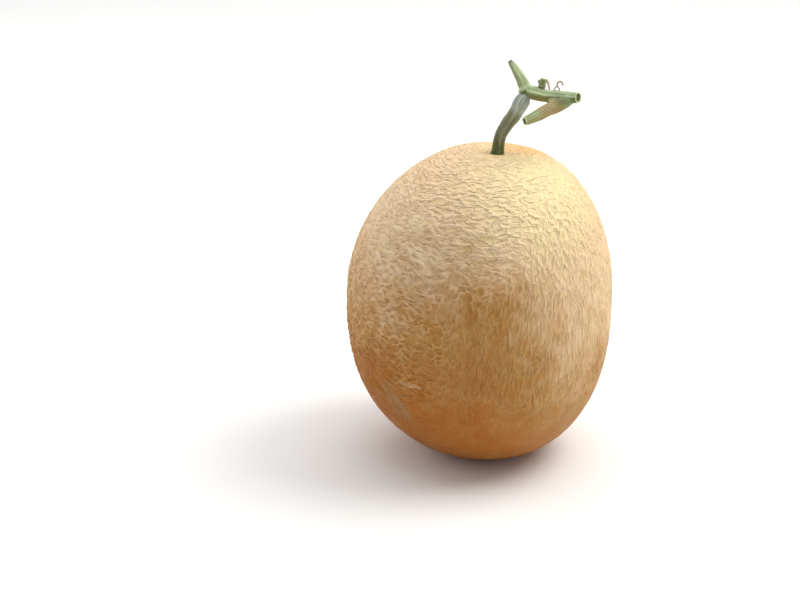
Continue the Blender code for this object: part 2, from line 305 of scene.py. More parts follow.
class FruitSettings(bpy.types.PropertyGroup):
    radius: length("Radius", "Half the fruit's width between the ridges of its net", 0.0741)
    half_height: length("Half height", "Half the fruit's height from end to end", 0.0894)
    dip_depth: length("Dip depth", "How far the skin sinks round the stalk", 0.0040)
    dip_radius: length("Dip radius", "How wide the dip round the stalk is", 0.0130)
    ridge_height: length("Ridge height", "How far the net stands out of the skin", 0.00075)
    ridge_half_width: length("Ridge half width", "Half the width of a strand of the net", 0.00078)
    slow_wander: number("Slow wander", "How far strands stray in long curves", 0.030)
    quick_wander: number("Quick wander", "How far strands stray in small curls", 0.017)


class StemSettings(bpy.types.PropertyGroup):
    ribs: IntProperty(name="Ribs", description="Ribs round each limb", default=5, min=3, max=12)
    stalk_rib_depth: number("Stalk rib depth", "Share of the radius", 0.10)
    vine_rib_depth: number("Vine rib depth", "Share of the radius", 0.10)
    pith_depth: length("Pith depth", "How far the pith has shrunk into a cut end", 0.0009)
    stalk_green: colour("Stalk", "Bark of the stalk", (0.26, 0.26, 0.155))
    vine_green: colour("Vine", "Bark of the vine", (0.46, 0.54, 0.31))
    dry_brown: colour("Dry", "Dry tips, buds and tendrils", (0.40, 0.30, 0.22))


class RindColours(bpy.types.PropertyGroup):
    deep_ground: colour("Deep ground", "Rind between the strands near the blossom end", (0.39, 0.122, 0.008))
    middle_ground: colour("Middle ground", "Rind between the strands halfway up", (0.46, 0.215, 0.045))
    pale_ground: colour("Pale ground", "Rind between the strands near the stem end", (0.78, 0.565, 0.315))
    deep_strand: colour("Deep strand", "Strands near the blossom end", (0.44, 0.168, 0.024))
    middle_strand: colour("Middle strand", "Strands halfway up", (0.60, 0.345, 0.140))
    pale_strand: colour("Pale strand", "Strands near the stem end", (0.87, 0.655, 0.43))


class StageSettings(bpy.types.PropertyGroup):
    elevation: number("Elevation", "How far the camera looks down", math.radians(21), subtype="ANGLE")
    distance: length("Distance", "From the camera to the fruit's centre", 1.065)
    lens: number("Lens", "Focal length in millimetres", 85.0, min=1.0)
    key_power: number("Key power", "Watts of the light above and behind the right", 8.5)
    overhead_power: number("Overhead power", "Watts of the broad light overhead", 66.0)
    back_power: number("Back power", "Watts of the light behind the left", 3.6)
    surround: number("Surround", "Strength of the pale surround", 0.40, min=0.0)


def settings(name):
    return getattr(bpy.context.scene, name)


# The fruit's smooth skin. A direction is a point of the unit sphere, +Z at the stalk.


def skin_points(directions):
    """The skin's point in each direction, from the fruit's centre, without the net."""
    fruit = settings("melon_fruit")
    across = np.hypot(directions[:, 0], directions[:, 1])
    up = directions[:, 2]
    fullness = np.where(up > 0, STEM_END_FULLNESS, BLOSSOM_END_FULLNESS)
    reach = (np.abs(up) ** fullness + across ** fullness) ** (-1 / fullness)
    reach *= 1 + LUMP_HEIGHT / fruit.radius * noise_at(directions, LUMPS_PER_RADIUS)
    level = up * reach
    x = fruit.radius * directions[:, 0] * reach + END_OFFSET * level ** 2 + END_LEAN * level
    y = fruit.radius * directions[:, 1] * reach
    z = fruit.half_height * level
    from_stalk = np.hypot(x - STALK_FOOT.x, y - STALK_FOOT.y)
    z = z - np.where(up > 0, fruit.dip_depth * np.exp(-((from_stalk / fruit.dip_radius) ** 2)), 0.0)
    return np.stack((x, y, z), axis=1)


def outward(directions):
    """Straight out of the skin at each direction."""
    fruit = settings("melon_fruit")
    return unit(directions / np.array((fruit.radius, fruit.radius, fruit.half_height)))


def compass(directions):
    """The unit vectors that run east round the fruit and up it at each direction."""
    east = np.stack((-directions[:, 1], directions[:, 0], np.zeros(len(directions))), axis=1)
    east[np.linalg.norm(east, axis=1) < SMALL_ANGLE] = (1.0, 0.0, 0.0)
    east = unit(east)
    return east, np.cross(directions, east)


# The net's cells: seeds spread as the grain wants, joined into triangles, with a cell round each seed.


class Grain:
    """How the net lies at each direction: its axes, its stretch along the first of them and its cell area."""

    def __init__(self, directions):
        self.polar = polar = np.degrees(np.arccos(np.clip(directions[:, 2], -1.0, 1.0)))
        east, up = compass(directions)
        rightness = directions[:, 0] / np.maximum(np.hypot(directions[:, 0], directions[:, 1]), SMALL_ANGLE)
        edge = between(LINED_SIDE_EDGE, polar) + EDGE_STRAY * noise_at(directions, 2.3, shift=4.1)
        self.lined = smooth_step(edge - EDGE_SOFTNESS, edge + EDGE_SOFTNESS, rightness)
        curly = np.log(between(CURLY_SIDE_SHAPE, polar))
        lined = np.log(between(LINED_SIDE_SHAPE, polar))
        self.log_shape = curly + (lined - curly) * self.lined
        tilt = GRAIN_TILT * noise_at(directions, 1.9, shift=8.3)[:, None]
        self.along = up * np.cos(tilt) + east * np.sin(tilt)
        self.aside = east * np.cos(tilt) - up * np.sin(tilt)
        self.area = between(CELL_AREA, polar) * MM ** 2 * (1 + (LINED_SIDE_AREA - 1) * self.lined)
        self.relief = between(RELIEF, polar) * (1 + (between(LINED_SIDE_RELIEF, polar) - 1) * self.lined)

    def flattened(self, k, apart):
        """Offsets on the skin near place k, stretched so that its cells come out as wide as tall."""
        half = math.exp(self.log_shape[k] / 2)
        return np.stack((apart @ self.aside[k] * half, apart @ self.along[k] / half), axis=-1)


def scatter_seeds():
    """Directions of the cells' seeds, none closer to another than its cell's size allows."""
    draw = np.random.default_rng(SEED)
    directions = unit(draw.normal(size=(TRIES, 3)))
    directions[0] = (0.0, 0.0, 1.0)
    directions[1] = (0.0, 0.0, -1.0)
    grain = Grain(directions)
    places = skin_points(directions)
    normals = outward(directions)
    nearest = grain.area / PACKED_SHARE
    kept = []
    taken = np.empty((TRIES, 3))
    for k in range(TRIES):
        apart = taken[: len(kept)] - places[k]
        flat = grain.flattened(k, apart)
        depth = apart @ normals[k]
        if not kept or ((flat ** 2).sum(axis=1) + depth ** 2).min() > nearest[k]:
            taken[len(kept)] = places[k]
            kept.append(k)
    return directions[kept]


def turn_edges(joined, grain, places):
    """Turns the edge between two triangles wherever the other diagonal suits the local grain better."""
    for _ in range(TURNING_ROUNDS):
        turned = 0
        for edge in list(joined.edges):
            if not edge.is_valid or len(edge.link_loops) != 2:
                continue
            a, b = (v.index for v in edge.verts)
            c, d = (loop.link_loop_prev.vert.index for loop in edge.link_loops)
            flat = grain.flattened(a, places[[a, b, c, d]] - places[a])
            pa, pb, pc, pd = (Vector(p) for p in flat)
            if turning_helps(pa, pb, pc, pd):
                bmesh.utils.edge_rotate(edge, False)
                turned += 1
        if not turned:
            break


def turning_helps(a, b, c, d):
    """Whether the triangles abc and bad would be evener with edge cd than with edge ab."""
    at_c = (a - c).dot(b - c) / max(abs((a - c).cross(b - c)), TINY)
    at_d = (a - d).dot(b - d) / max(abs((a - d).cross(b - d)), TINY)
    crossing = (d - c).cross(a - c) * (d - c).cross(b - c) < 0
    return crossing and at_c + at_d < -TURNING_GAIN


def faces_round(corner):
    """The faces round a corner of a closed mesh, anticlockwise from outside."""
    start = corner.link_loops[0]
    found = [start.face.index]
    step = start.link_loop_prev.link_loop_radial_next
    while step != start:
        found.append(step.face.index)
        step = step.link_loop_prev.link_loop_radial_next
    return found


def join_seeds(seeds):
    """A closed mesh of triangles between the seeds. The hull's own faces come in a new order each run, so
    they are sorted here."""
    hull = bmesh.new()
    for seed in seeds:
        hull.verts.new(seed)
    bmesh.ops.convex_hull(hull, input=hull.verts)
    hull.verts.index_update()
    triangles = []
    for face in hull.faces:
        numbers = [v.index for v in face.verts]
        first = numbers.index(min(numbers))
        triangles.append(numbers[first:] + numbers[:first])
    joined = bmesh.new()
    points = [joined.verts.new(v.co) for v in hull.verts]
    hull.free()
    for triangle in sorted(triangles):
        joined.faces.new([points[k] for k in triangle])
    joined.verts.index_update()
    return joined


def lay_out_cells():
    """The net's corner directions, and for each cell the numbers of its corners in order."""
    joined = join_seeds(scatter_seeds())
    centres = np.array([v.co[:] for v in joined.verts])
    turn_edges(joined, Grain(centres), skin_points(centres))
    joined.faces.index_update()
    corners = unit(np.array([sum((v.co for v in face.verts), Vector())[:] for face in joined.faces]))
    cells = [faces_round(v) for v in joined.verts]
    joined.free()
    return corners, cells


# The net's strands. Each lies between two corners. Its presence is 1 where it is whole and 0 where it has
# faded, and its relief says how much of it stands out of the skin.


class Strands:
    """Every strand between two corners of the net, with the crest points along it."""

    def __init__(self, corners, cells):
        draw = np.random.default_rng(SEED + 1)
        pairs = [tuple(sorted((a, b))) for cell in cells for a, b in zip(cell, cell[1:] + cell[:1])]
        self.ends = np.array(sorted(set(pairs)))
        self.number = {tuple(pair): k for k, pair in enumerate(self.ends.tolist())}
        places = skin_points(corners)
        run = places[self.ends[:, 1]] - places[self.ends[:, 0]]
        self.length = np.linalg.norm(run, axis=1)
        grain = Grain(unit(corners[self.ends].sum(axis=1)))
        self.presence = self.present(run, grain, draw)
        corner_presence = self.at_corners(len(corners))
        step = WIDE_STEP + (CLOSE_STEP - WIDE_STEP) * self.presence * grain.relief
        self.steps = np.clip(np.round(self.length / step), 1, MOST_STEPS).astype(int)
        self.lay_crests(corners, corner_presence)

    def present(self, run, grain, draw):
        """Strands along the grain stay, and those across it fade, as do some at random."""
        tall = grain.log_shape > 0
        wanted = np.where(tall[:, None], grain.along, grain.aside)
        alignment = np.abs((run * wanted).sum(axis=1)) / np.maximum(self.length, TINY)
        half = np.exp(grain.log_shape / 2)
        beside = (run * grain.aside).sum(axis=1) * half
        ahead = (run * grain.along).sum(axis=1) / half
        flat_alignment = np.abs(np.where(tall, ahead, beside)) / np.maximum(np.hypot(beside, ahead), TINY)
        alignment = 0.5 * (alignment + flat_alignment)
        strength = np.clip(np.abs(grain.log_shape) / math.log(2.0), 0.0, 1.0)
        presence = 1 - CROSSING_FADE * strength * (1 - smooth_step(*ACROSS_TO_ALONG, alignment))
        chance = draw.random(len(run))
        lost = LOST_SHARE + LOST_SHARE_WITHOUT_GRAIN * (1 - strength)
        kept = LEAST_PRESENCE + PRESENCE_SPREAD * draw.random(len(run))
        presence *= np.where(chance < lost, LOST_PRESENCE, kept)
        return np.clip(presence, 0.0, 1.0)

    def at_corners(self, count):
        """A strand runs on through a corner if another whole one leaves it, or else ends there."""
        meeting = [[] for _ in range(count)]
        for (a, b), presence in zip(self.ends, self.presence):
            meeting[a].append(presence)
            meeting[b].append(presence)
        presence = np.empty(count)
        for k, found in enumerate(meeting):
            found.sort()
            presence[k] = 0.85 * found[-2] + 0.15 * found[-1] if found[-2] > 0.3 else 0.3 * found[-1]
        return presence

    def lay_crests(self, corners, corner_presence):
        """Lays out the crest points: the corners first, then the inner points of each strand."""
        directions = [corners]
        presences = [corner_presence]
        self.first = np.empty(len(self.ends), int)
        count = len(corners)
        for k, (a, b) in enumerate(self.ends):
            share = np.arange(1, self.steps[k]) / self.steps[k]
            self.first[k] = count
            count += len(share)
            directions.append(corners[a] + (corners[b] - corners[a]) * share[:, None])
            near_a = 1 - smooth_step(0, JOINT_REACH, share * self.length[k])
            near_b = 1 - smooth_step(0, JOINT_REACH, (1 - share) * self.length[k])
            own = self.presence[k]
            along = own + (corner_presence[a] - own) * near_a + (corner_presence[b] - own) * near_b
            presences.append(along)
        self.directions = unit(np.concatenate(directions))
        self.crest_presence = np.clip(np.concatenate(presences), 0.0, 1.0)

    def outline(self, cell):
        """A cell's crest points in order, and which of them are corners."""
        points = []
        is_corner = []
        for a, b in zip(cell, cell[1:] + cell[:1]):
            k = self.number[(a, b) if a < b else (b, a)]
            inner = list(range(self.first[k], self.first[k] + self.steps[k] - 1))
            points += [a] + (inner if a < b else inner[::-1])
            is_corner += [True] + [False] * len(inner)
        return np.array(points), np.array(is_corner)


def cross_of(a, b):
    return a[..., 0] * b[..., 1] - a[..., 1] * b[..., 0]


def inset_limits(outline, is_corner, centre):
    """For each point of a cell's flat outline: the way inwards, and how far it may go before lines cross."""
    following = np.roll(outline, -1, axis=0) - outline
    step = np.linalg.norm(following, axis=1)
    ahead = following / step[:, None]
    behind = np.roll(ahead, 1, axis=0)
    inward = np.stack((-ahead[:, 1], ahead[:, 0]), axis=1)
    to_centre = centre - outline
    reach = np.linalg.norm(to_centre, axis=1)
    centrewards = to_centre / reach[:, None]
    starts = np.maximum.accumulate(np.where(is_corner, np.arange(len(outline)), 0))
    corner_numbers = np.flatnonzero(is_corner)
    ends = corner_numbers[(np.searchsorted(corner_numbers, starts) + 1) % len(corner_numbers)]
    from_start = np.linalg.norm(outline - outline[starts], axis=1)
    to_end = np.linalg.norm(outline[ends] - outline, axis=1)
    at_start = centrewards[starts]
    at_end = centrewards[ends]
    rise_start = cross_of(ahead, at_start) / np.maximum((ahead * at_start).sum(1), LEAST_SLOPE)
    rise_end = cross_of(ahead, at_end) / np.maximum(-(ahead * at_end).sum(1), LEAST_SLOPE)
    limit = SIDE_ROOM * np.minimum(from_start * rise_start, to_end * rise_end)
    corner_sine = 0.5 * (cross_of(ahead, centrewards) + cross_of(behind, centrewards))
    corner_cosine = np.maximum((ahead * centrewards).sum(1), -(behind * centrewards).sum(1))
    corner_limit = CORNER_ROOM * np.minimum(step, np.roll(step, 1)) / np.maximum(corner_cosine, LEAST_SLOPE)
    corner_limit = np.minimum(corner_limit, CORNER_REACH * reach)
    way = np.where(is_corner[:, None], centrewards, inward)
    sine = np.where(is_corner, np.clip(corner_sine, LEAST_SINE, 1.0), 1.0)
    return way, sine, np.maximum(np.where(is_corner, corner_limit, limit), 0.0)


def strand_profile(share):
    """A strand's height over its crest's, by the distance from its middle line over its half width."""
    return np.clip(1 - np.abs(share) ** PROFILE_POWER, 0.0, 1.0)


def presence_at(points, outline, crest_presence, half_width):
    """How much of the cell's strands there is at each point inside it."""
    start = outline[None, :, :]
    run = np.roll(outline, -1, axis=0)[None, :, :] - start
    offset = points[:, None, :] - start
    along = np.clip((offset * run).sum(2) / np.maximum((run ** 2).sum(2), TINY), 0.0, 1.0)
    apart = np.linalg.norm(offset - run * along[:, :, None], axis=2)
    following = np.roll(crest_presence, -1)
    crest = crest_presence + (following - crest_presence) * along
    width = half_width + (np.roll(half_width, -1) - half_width) * along
    return (crest * strand_profile(apart / width)).max(axis=1)


def skin_scale(directions, way):
    """How far the skin's point moves for each radian that its direction turns that way."""
    apart = skin_points(unit(directions + way * SMALL_ANGLE)) - skin_points(directions)
    return np.linalg.norm(apart, axis=1) / SMALL_ANGLE


def net_mesh():
    """The rind's points, its faces and how much of a strand there is at each point."""
    fruit = settings("melon_fruit")
    corners, cells = lay_out_cells()
    strands = Strands(corners, cells)
    crest = strands.directions
    centres = unit(np.array([corners[cell].mean(axis=0) for cell in cells]))
    east, up = compass(centres)
    east_scale = skin_scale(centres, east)
    up_scale = skin_scale(centres, up)
    grain = Grain(centres)
    rounded = grain.relief > ROUND_TOPPED_RELIEF
    breadth = BREADTH - LINED_BREADTH_LOSS * grain.lined
    directions = [crest]
    presences = [strands.crest_presence]
    count = len(crest)
    quads = []
    fans = []
    for k, cell in enumerate(cells):
        loop, is_corner = strands.outline(cell)
        from_centre = crest[loop] - centres[k]
        flat = np.stack((from_centre @ east[k] * east_scale[k], from_centre @ up[k] * up_scale[k]), axis=1)
        middle = flat[is_corner].mean(axis=0)
        presence = strands.crest_presence[loop]
        half_width = fruit.ridge_half_width * (THINNEST + (1 - THINNEST) * presence) * breadth[k]
        way, sine, limit = inset_limits(flat, is_corner, middle)
        for share in (0.5, 1.0) if rounded[k] else (1.0,):
            moved = way * np.minimum(half_width * share / sine, limit * (0.55 + 0.45 * share))[:, None]
            shift = moved[:, :1] / east_scale[k] * east[k] + moved[:, 1:] / up_scale[k] * up[k]
            directions.append(crest[loop] + shift)
            presences.append(presence_at(flat + moved, flat, presence, half_width))
        shift = middle[0] / east_scale[k] * east[k] + middle[1] / up_scale[k] * up[k]
        directions.append((centres[k] + shift)[None])
        presences.append(np.zeros(1))
        n = len(loop)
        ring = loop
        after = np.roll(np.arange(n), -1)
        for _ in range(2 if rounded[k] else 1):
            inner = count + np.arange(n)
            quads.append(np.stack((ring, ring[after], inner[after], inner), axis=1))
            ring = inner
            count += n
        fans.append(np.stack((ring, ring[after], np.full(n, count)), axis=1))
        count += 1
    directions = unit(np.concatenate(directions))
    return directions, np.concatenate(presences), np.concatenate(quads), np.concatenate(fans)


def wandered(directions):
    """Directions moved by two smooth noises, which turns straight strands into wavy ones."""
    fruit = settings("melon_fruit")
    grain = Grain(directions)
    curls = fruit.quick_wander * (1.35 - 0.45 * grain.lined + 2.6 * grain.lined * (1 - grain.lined))
    moved = directions + noise_vectors_at(directions, 9.0) * fruit.slow_wander
    moved += noise_vectors_at(directions, 23.0) * curls[:, None]
    return unit(moved)


def unfolded(directions, triangles):
    """Directions of a closed net of triangles, evened out wherever a triangle had folded over."""
    directions = directions.copy()
    sides = np.concatenate((triangles[:, [0, 1]], triangles[:, [1, 2]], triangles[:, [2, 0]]))
    for number in range(UNFOLDING_ROUNDS):
        a, b, c = (directions[triangles[:, k]] for k in range(3))
        normal = np.cross(b - a, c - a)
        size = np.maximum(np.linalg.norm(normal, axis=1), TINY)
        folded = (normal * unit(a + b + c)).sum(axis=1) / size < FOLDED_COSINE
        if not folded.any():
            break
        crowded = np.zeros(len(directions), bool)
        crowded[triangles[folded].ravel()] = True
        if number % GROWING_ROUNDS == GROWING_ROUNDS - 1:
            crowded[triangles[crowded[triangles].any(axis=1)].ravel()] = True
        total = np.zeros_like(directions)
        np.add.at(total, sides[:, 0], directions[sides[:, 1]])
        count = np.bincount(sides[:, 0], minlength=len(directions))
        middle = total / count[:, None]
        directions[crowded] = unit(0.5 * directions[crowded] + 0.5 * middle[crowded])
    return directions


def mesh_object(name, points, faces):
    mesh = bpy.data.meshes.new(name)
    mesh.from_pydata(points.tolist(), [], faces)
    made = bpy.data.objects.new(name, mesh)
    bpy.context.scene.collection.objects.link(made)
    return made


def choose(*things):
    """Selects these objects alone, with the first of them active."""
    bpy.ops.object.select_all(action="DESELECT")
    for thing in things:
        thing.select_set(True)
    bpy.context.view_layer.objects.active = things[0]


def face_outward(piece, merged=None):
    """Turns a closed piece's faces outward, after it has merged points closer than the given distance."""
    choose(piece)
    bpy.ops.object.mode_set(mode="EDIT")
    bpy.ops.mesh.select_all(action="SELECT")
    if merged:
        bpy.ops.mesh.remove_doubles(threshold=merged)
    bpy.ops.mesh.normals_make_consistent(inside=False)
    bpy.ops.object.mode_set(mode="OBJECT")


def each_point(piece, field):
    """The "co" or the "normal" of each of a piece's points."""
    values = np.empty(len(piece.data.vertices) * 3, np.float32)
    piece.data.vertices.foreach_get(field, values)
    return values.reshape(-1, 3).astype(float)


def set_points(piece, points):
    piece.data.vertices.foreach_set("co", points.astype(np.float32).ravel())
    piece.data.update()


def store(piece, name, values):
    """Keeps a number, a place or a colour for each of a piece's points."""
    kinds = {1: ("FLOAT", "value"), 3: ("FLOAT_VECTOR", "vector"), 4: ("FLOAT_COLOR", "color")}
    kind, field = kinds[1 if values.ndim == 1 else values.shape[1]]
    attribute = piece.data.attributes.new(name, kind, "POINT")
    attribute.data.foreach_set(field, values.astype(np.float32).ravel())


# The blossom scar.


def scar_place():
    """The middle of the flat spot."""
    return skin_points(np.array([[0.0, 0.0, -1.0]]))[0] + np.array(FRUIT_CENTRE)


def scar_hollow(points):
    """How far the skin sinks into the fruit round the blossom scar."""
    middle = scar_place()
    out = np.hypot(points[:, 0] - middle[0], points[:, 1] - middle[1])
    near = points[:, 2] < FRUIT_CENTRE.z * 0.5
    return np.where(near, SCAR_HOLLOW * (1 - smooth_step(0.75 * SCAR_RADIUS, 1.5 * SCAR_RADIUS, out)), 0.0)


def model_blossom_scar():
    """The corky disc that the flower has left: rings on a sunken button with an uneven edge."""
    turn = np.arange(SCAR_SIDES) / SCAR_SIDES * 2 * math.pi
    edge = SCAR_RADIUS * (1 + 0.05 * np.cos(3 * turn + 1.0) + 0.03 * np.cos(7 * turn))
    middle = scar_place()
    points = []
    for k in range(1, SCAR_RINGS + 1):
        share = k / SCAR_RINGS
        drop = SCAR_THICKNESS * (1 - share ** 4) * (0.78 + 0.22 * np.cos(share * 11 * math.pi))
        drop *= 1 - 0.35 * (1 - smooth_step(0.0, 0.18, share))
        drop += 0.07 * MM * np.cos(9 * turn) * share * (1 - share)
        level = SCAR_HOLLOW - drop
        points.append(np.stack((edge * share * np.cos(turn), edge * share * np.sin(turn), level), axis=1))
    bottom_ring = np.concatenate(points)
    top_level = SCAR_HOLLOW + SCAR_ROOT
    top = bottom_ring * np.array((1, 1, 0)) + np.array((0, 0, top_level))
    tips = np.array([[0, 0, SCAR_HOLLOW - 0.62 * SCAR_THICKNESS], [0, 0, top_level]])
    points = np.concatenate((bottom_ring, top, tips)) + np.array((middle[0], middle[1], 0.0))
    points += 0.05 * MM * noise_vectors_at(points, 900.0)
    count = SCAR_RINGS * SCAR_SIDES
    bottom = np.arange(count).reshape(SCAR_RINGS, SCAR_SIDES)
    rings = list(bottom) + list(bottom[::-1] + count)
    faces = []
    for ring, following in zip(rings, rings[1:]):
        faces += np.stack((ring, np.roll(ring, -1), np.roll(following, -1), following), axis=1).tolist()
    for ring, tip in ((bottom[0][::-1], 2 * count), (bottom[0] + count, 2 * count + 1)):
        faces += np.stack((ring, np.roll(ring, -1), np.full(SCAR_SIDES, tip)), axis=1).tolist()
    scar = mesh_object("blossom_scar", points, faces)
    face_outward(scar)
    store(scar, "out", np.hypot(points[:, 0] - middle[0], points[:, 1] - middle[1]) / SCAR_RADIUS)
    scar.data.shade_smooth()
    return scar


# The rind.


def skin_paleness(directions, polar):
    """How far the skin has paled in each direction: more to the stem end and the right, less low down, with
    painted shade darkening a band down the front middle.
    """
    x, y, _ = directions.T
    flank = smooth_step(0.0, 0.75, x / np.hypot(x, y).clip(SMALL_ANGLE))
    left = smooth_step(0.15, 0.55, -x)
    front = np.exp(-(((x - FRONT_MIDDLE) / FRONT_WIDTH) ** 2)) * (y < 0)
    paleness = between(PALENESS, polar) + between(PALER_FLANK, polar) * flank
    paleness += 0.12 * noise_at(directions, 3.1, shift=2.7) + 0.10 * noise_at(directions, 8.5, shift=5.2)
    for change, share, start, end in (
        (-0.16, left, (88, 102), (118, 130)),
        # Painted shade: darker down the front middle, where shade falls between the lit sides.
        (-0.11, front, (38, 84), (88, 112)),
        (0.08, front, (98, 108), (122, 132)),
    ):
        paleness += change * share * smooth_step(*start, polar) * (1 - smooth_step(*end, polar))
    return paleness.clip(0.0, 1.0)


def model_rind():
    """The netted skin, with what its material needs to know at each point."""
    fruit = settings("melon_fruit")
    directions, presence, quads, fans = net_mesh()
    triangles = np.concatenate((quads[:, [0, 1, 2]], quads[:, [0, 2, 3]], fans))
    directions = unfolded(wandered(directions), triangles)
    grain = Grain(directions)
    unevenness = 1 + 0.30 * noise_at(directions, 26.0)
    raised = fruit.ridge_height * presence * grain.relief * unevenness
    points = skin_points(directions) + outward(directions) * raised[:, None] + np.array(FRUIT_CENTRE)
    points[:, 2] = np.maximum(points[:, 2], 0.0)
    points[:, 2] += scar_hollow(points)
    rind = mesh_object("netted_rind", points, quads.tolist() + fans.tolist())
    store(rind, "net", presence * (0.22 + 0.78 * grain.relief) * (1 - 0.30 * grain.lined))
    store(rind, "paleness", skin_paleness(directions, grain.polar))
    store(rind, "relief", grain.relief)
    store(rind, "lined", grain.lined)
    turn = np.radians(grain.polar)
    sway = WRINKLE_SWAY * noise_at(directions, 5.0, shift=3.3)
    for name, (across, down) in (("level", LEVEL_WRINKLES), ("upright", UPRIGHT_WRINKLES)):
        store(rind, name, np.column_stack((directions[:, :2] * across, turn * down + sway)))
    rind.data.shade_smooth()
    return rind


# The stem. A limb is a tube along a route, and a place on it is known by how far along and round it lies.


def smoothed(route):
    """The places in the frame and the radii of a route, with smooth curves between its stops."""
    stops = np.array(route) * MM
    padded = np.concatenate((2 * stops[:1] - stops[1:2], stops, 2 * stops[-1:] - stops[-2:-1]))
    found = []
    for k in range(len(stops) - 1):
        a, b, c, d = padded[k:k + 4]
        for t in np.arange(ROUTE_STEPS) / ROUTE_STEPS:
            slope = (c - a) * t
            bend = (2 * a - 5 * b + 4 * c - d) * t ** 2
            twist = (3 * b - a - 3 * c + d) * t ** 3
            found.append(b + (slope + bend + twist) / 2)
    found = np.array(found + [stops[-1]])
    return found[:, :3] + np.array(FRUIT_CENTRE), np.maximum(found[:, 3], 0.0001)


class Limb:
    """The middle line of a limb, with a frame carried along it."""

    def __init__(self, route):
        self.places, self.radii = smoothed(route)
        run = np.diff(self.places, axis=0)
        self.reach = np.linalg.norm(run, axis=1)
        self.starts = np.concatenate(([0.0], np.cumsum(self.reach)))
        self.ahead = run / self.reach[:, None]
        side = np.array((0.0, 1.0, 0.0))
        sides = []
        for ahead in self.ahead:
            side = unit(side - ahead * (side @ ahead))
            sides.append(side)
        self.sides = np.array(sides)
        self.length = self.starts[-1]

    def locate(self, points):
        """How far along each point lies, its turn round the limb, and its distance out over the radius."""
        apart = points[:, None, :] - self.places[None, :-1, :]
        share = (apart * self.ahead[None]).sum(2) / self.reach[None]
        clipped = np.clip(share, 0.0, 1.0)
        offset = apart - (clipped * self.reach[None])[:, :, None] * self.ahead[None]
        nearest = np.argmin((offset ** 2).sum(2), axis=1)
        rows = np.arange(len(points))
        part = clipped[rows, nearest]
        offset = offset[rows, nearest]
        ahead = self.ahead[nearest]
        side = self.sides[nearest]
        turn = np.arctan2((offset * np.cross(ahead, side)).sum(1), (offset * side).sum(1))
        overshoot = (share[rows, nearest] - part) * self.reach[nearest]
        along = self.starts[nearest] + part * self.reach[nearest] + overshoot
        across = np.linalg.norm(offset - overshoot[:, None] * ahead, axis=1)
        radius = self.radii[nearest] + (self.radii[nearest + 1] - self.radii[nearest]) * part
        return along, turn, across / radius, radius


def pointed_ribs(turn, count):
    """A round of ribs from 0 in the grooves to 1 on the ridges, narrower on the ridges."""
    return (0.5 + 0.5 * np.cos(count * turn)) ** 1.5


def sweep(name, route, sides):
    """Makes a curve along a route, gives it thickness and turns it into a mesh with closed ends."""
    bpy.ops.mesh.primitive_circle_add(vertices=sides, radius=1.0)
    bpy.ops.object.convert(target="CURVE")
    ring = bpy.context.object
    places, radii = smoothed(route)
    bpy.ops.curve.primitive_nurbs_path_add()
    made = bpy.context.object
    made.name = name
    made.data.splines.clear()
    spline = made.data.splines.new("POLY")
    spline.points.add(len(places) - 1)
    spline.points.foreach_set("co", np.column_stack((places, np.ones(len(places)))).ravel())
    spline.points.foreach_set("radius", radii)
    made.data.bevel_mode = "OBJECT"
    made.data.bevel_object = ring
    made.data.use_fill_caps = True
    bpy.ops.object.convert(target="MESH")
    bpy.data.objects.remove(ring, do_unlink=True)
    face_outward(made, MERGED)
    return made


def fuse(name, parts, voxel, smoothing):
    """Joins closed pieces into one skin and evens out the places where they meet."""
    choose(*parts)
    bpy.ops.object.join()
    made = bpy.context.object
    made.name = name
    made.data.remesh_voxel_size = voxel
    bpy.ops.object.voxel_remesh()
    modifier = made.modifiers.new("smooth", "SMOOTH")
    modifier.factor = EVENING
    modifier.iterations = smoothing
    bpy.ops.object.modifier_apply(modifier=modifier.name)
    return made


def painted(ground, count, coats):
    """A tint for each point: the ground colour under coats of (share at each point, colour)."""
    tint = np.tile(np.array(ground), (count, 1))
    for share, coat in coats:
        tint = tint + (np.array(coat) - tint) * share[:, None]
    return tint


def store_bark(piece, along, turn, tint):
    """Keeps the bark's own places, which run along the limb, and its tint."""
    grain = np.stack((np.cos(turn) * 4 * MM, np.sin(turn) * 4 * MM, along * 0.12), axis=1)
    store(piece, "grain", grain)
    store(piece, "tint", np.column_stack((np.clip(tint, 0.0, 1.0), np.ones(len(tint)))))


def model_stalk():
    """The fruit's stalk, ribbed and twisted a little, with its foot in the dip."""
    stem = settings("melon_stem")
    stalk = fuse("ribbed_stalk", [sweep("stalk", STALK_ROUTE, 48)], STEM_VOXEL, 6)
    points = each_point(stalk, "co")
    limb = Limb(STALK_ROUTE)
    along, turn, _, radius = limb.locate(points)
    level = points[:, 2] - FRUIT_CENTRE.z
    turn = turn + STALK_TURN + STALK_TWIST * along
    footing = 1 - smooth_step(STALK_FOOT.z - 0.001, STALK_FOOT_TOP, level)
    ribs = pointed_ribs(turn, stem.ribs) - 0.45 + 0.35 * (pointed_ribs(turn + 0.6, stem.ribs * 2) - 0.45)
    rise = radius * ribs * (stem.stalk_rib_depth + 0.18 * footing)
    rise += 0.12 * MM * noise_at(points, 260.0) + 0.06 * MM * noise_at(points, 700.0)
    points += each_point(stalk, "normal") * rise[:, None]
    set_points(stalk, points)
    head = smooth_step(limb.length * 0.68, limb.length * 0.80, along)
    groove = 1 - smooth_step(0.15, 0.6, pointed_ribs(turn, stem.ribs))
    lower = 1 - smooth_step(limb.length * 0.22, limb.length * 0.40, along)
    store_bark(stalk, along, turn, painted(stem.stalk_green, len(points), (
        (head * 0.9, STALK_HEAD_GREY),
        (groove * (0.48 + 0.25 * lower) * (1 - 0.6 * head), STALK_GROOVE_GREEN),
        (lower * 0.70, STALK_LOWER_GREEN),
    )))
    stalk.data.shade_smooth()
    return stalk


